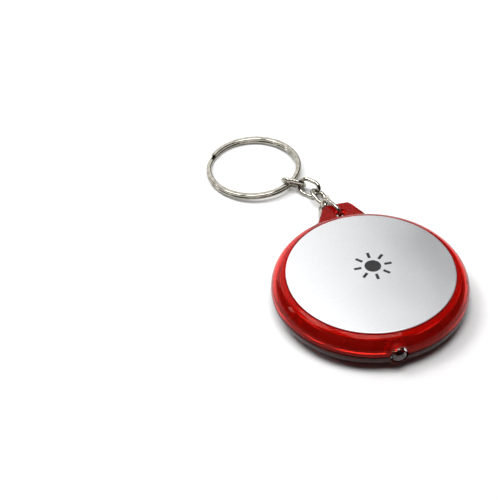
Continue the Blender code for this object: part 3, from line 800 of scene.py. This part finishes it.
def led(epoxy, metal, chip):
    """The clear lens, and inside it the lead frame with its cup and the small chip."""
    profile = [(0, LED_LENGTH)]
    profile += arc(0, LED_LENGTH - LED_R, LED_R, 86, 0, 20)
    profile += [(LED_R, LED_FLANGE_T + LED_STEP), (LED_R + LED_STEP, LED_FLANGE_T)]
    corner = LED_FLANGE_ROUND
    profile += arc(LED_FLANGE_R - corner, LED_FLANGE_T - corner, corner, 90, 0, 3)
    profile += [(LED_FLANGE_R, LED_STEP), (LED_FLANGE_R - LED_STEP, 0), (0, 0)]
    lens = along_minus_y(lathe("led_epoxy", profile, LED_STEPS), LED_BACK_Y)
    finish_piece(lens, epoxy, "case", "clear_lens", "led_lens")
    profile = [(0, CUP_FLOOR[1]), CUP_FLOOR, CUP_MOUTH, (CUP_MOUTH[0] + CUP_WALL, CUP_MOUTH[1])]
    profile += [CUP_BASE, (0, CUP_BASE[1])]
    pieces = [lathe("cup", profile, CUP_STEPS)]
    for name, (across, half, along) in LEAD_BARS.items():
        low, high = (across[0], -half, along[0]), (across[1], half, along[1])
        pieces.append(box_mesh(name, low, high, LEAD_BEVEL))
    leads = along_minus_y(merge("led_lead_frame", pieces), LED_BACK_Y)
    finish_piece(leads, metal, "case", "contact_metal")
    low, high = (-CHIP_HALF, -CHIP_HALF, CHIP_REACH[0]), (CHIP_HALF, CHIP_HALF, CHIP_REACH[1])
    die = along_minus_y(box_mesh("led_chip", low, high, CHIP_BEVEL), LED_BACK_Y)
    finish_piece(die, chip, "case", "clear_lens")


# ---------------------------------------------------------------- chain and ring


def main_axes(node):
    """Centre, half sizes and directions of a node, longest first, in millimetres."""
    points = np.array([v.co for v in frame["nodes"][node].data.vertices]) / MM
    spread_of = np.cov((points - points.mean(0)).T)
    _, columns = np.linalg.eigh(spread_of)
    axes = columns.T[::-1]
    along = points @ axes.T
    low, high = along.min(0), along.max(0)
    centre = Vector(((low + high) / 2 @ axes).tolist())
    return centre, (high - low) / 2, [Vector(a.tolist()) for a in axes]


def chain_link(node, made, body):
    """A round wire loop with its two ends butted together in the middle of one side."""
    centre, half, (x_axis, y_axis, z_axis) = main_axes(node)
    wire_r = half[2]
    bend_r = half[1] - wire_r
    straight = half[0] - half[1]
    arc_steps, side_steps = 28, 20
    path = []
    for end in (1, -1):
        for i in range(arc_steps + 1):
            a = math.pi * (i / arc_steps - 0.5) + (0 if end == 1 else math.pi)
            path.append((end * straight + bend_r * math.cos(a), bend_r * math.sin(a)))
        for i in range(1, side_steps):
            path.append((end * straight * (1 - 2 * i / side_steps), end * bend_r))
    stations = []
    count = len(path)
    for i, (x, y) in enumerate(path):
        before, after = path[i - 1], path[(i + 1) % count]
        tangent = Vector((after[0] - before[0], after[1] - before[1])).normalized()
        side = x_axis * tangent.y - y_axis * tangent.x
        on_seam = y < 0 and abs(x) < WIRE_SEAM_REACH
        scale = WIRE_SEAM_SCALE if on_seam else 1.0
        stations.append((centre + x_axis * x + y_axis * y, side, z_axis, scale))
    angles = [TURN * i / WIRE_SIDES for i in range(WIRE_SIDES)]
    section = [(wire_r * math.cos(a), wire_r * math.sin(a)) for a in angles]
    loop = sweep(node + "_wire", stations, section, True)
    finish_piece(loop, made, body, "chain_nickel", node, sharp=50)


def key_ring(made):
    """Two close coils of flat wire with rounded edges, stepping from one to the other."""
    joint = next(j for j in frame["joints"] if j["child"] == "key_ring")
    centre, half, (_, _, up) = main_axes("split_ring")
    up = up if up.z > 0 else -up
    x_axis = centre - Vector(joint["pos_m"]) / MM
    x_axis = (x_axis - up * x_axis.dot(up)).normalized()
    y_axis = up.cross(x_axis)
    band_r = (half[0] + half[1]) / 2 - RING_BAND_W / 2
    coil_rise = (RING_BAND_T + RING_COIL_GAP) / 2
    stations = []
    for i in range(RING_STEPS + 1):
        a = (2 * TURN - RING_CROSSOVER) * i / RING_STEPS
        share = min(max((a - (TURN - RING_CROSSOVER)) / RING_CROSSOVER, 0), 1)
        height = coil_rise * (2 * share * share * (3 - 2 * share) - 1)
        out = x_axis * math.cos(a + RING_END) + y_axis * math.sin(a + RING_END)
        stations.append((centre + out * band_r + up * height, out, up, 1.0))
    section = []
    corner = RING_CORNER_R
    for sx, sy, start in ((1, 1, 0), (-1, 1, 90), (-1, -1, 180), (1, -1, 270)):
        centre_x = sx * (RING_BAND_W / 2 - corner)
        centre_y = sy * (RING_BAND_T / 2 - corner)
        section += arc(centre_x, centre_y, corner, start, start + 90, 4)
    ring = sweep("split_ring_wire", stations, section, False)
    finish_piece(ring, made, "key_ring", "chain_nickel", "split_ring", sharp=50)


# ---------------------------------------------------------------- all


def main():
    add_camera()
    add_stage()
    add_lights()
    bpy.context.scene.view_settings.view_transform = "Standard"
    red = red_plastic("red_translucent", CLEAR_RED, 0.86)
    # The lower shell gets a much darker copy of the red plastic: painted shade.
    painted_shade_red = red_plastic("red_under_shell_painted_shade", PAINTED_SHADE_RED, 0.9)
    carrier_red = red_plastic("red_carrier", CARRIER_RED, 0.45)
    nickel = plated("nickel_plate", NICKEL, (0.06, 0.15))
    steel = plated("bright_steel", STEEL, (0.22, 0.36))
    strip = plated("spring_strip", STRIP, (0.2, 0.34))
    black = grained("black_moulded", BLACK, (0.4, 0.55), 0.2)
    ink = grained("black_ink", INK, (0.5, 0.62), 0.1)
    chip = grained("led_phosphor", PHOSPHOR, (0.4, 0.6), 0.1)
    case_lower(painted_shade_red)
    case_upper(red)
    plate(satin_aluminium())
    plate_mark(ink)
    led(clear_epoxy(), strip, chip)
    bodies = frame["record"]["behaviour"]["bodies"]
    for node in LINKS:
        body = next(b for b, members in bodies.items() if node in members)
        chain_link(node, nickel, body)
    key_ring(nickel)
    for names, made in (
        (("plate_carrier",), carrier_red),
        (("battery_lower", "battery_upper", *SCREWS), steel),
        (("positive_contact", "negative_contact"), strip),
        (("led_anode_leg", "led_cathode_leg", "return_spring"), strip),
        (("battery_holder",), black),
    ):
        for name in names:
            finish_node(name, made)


main()
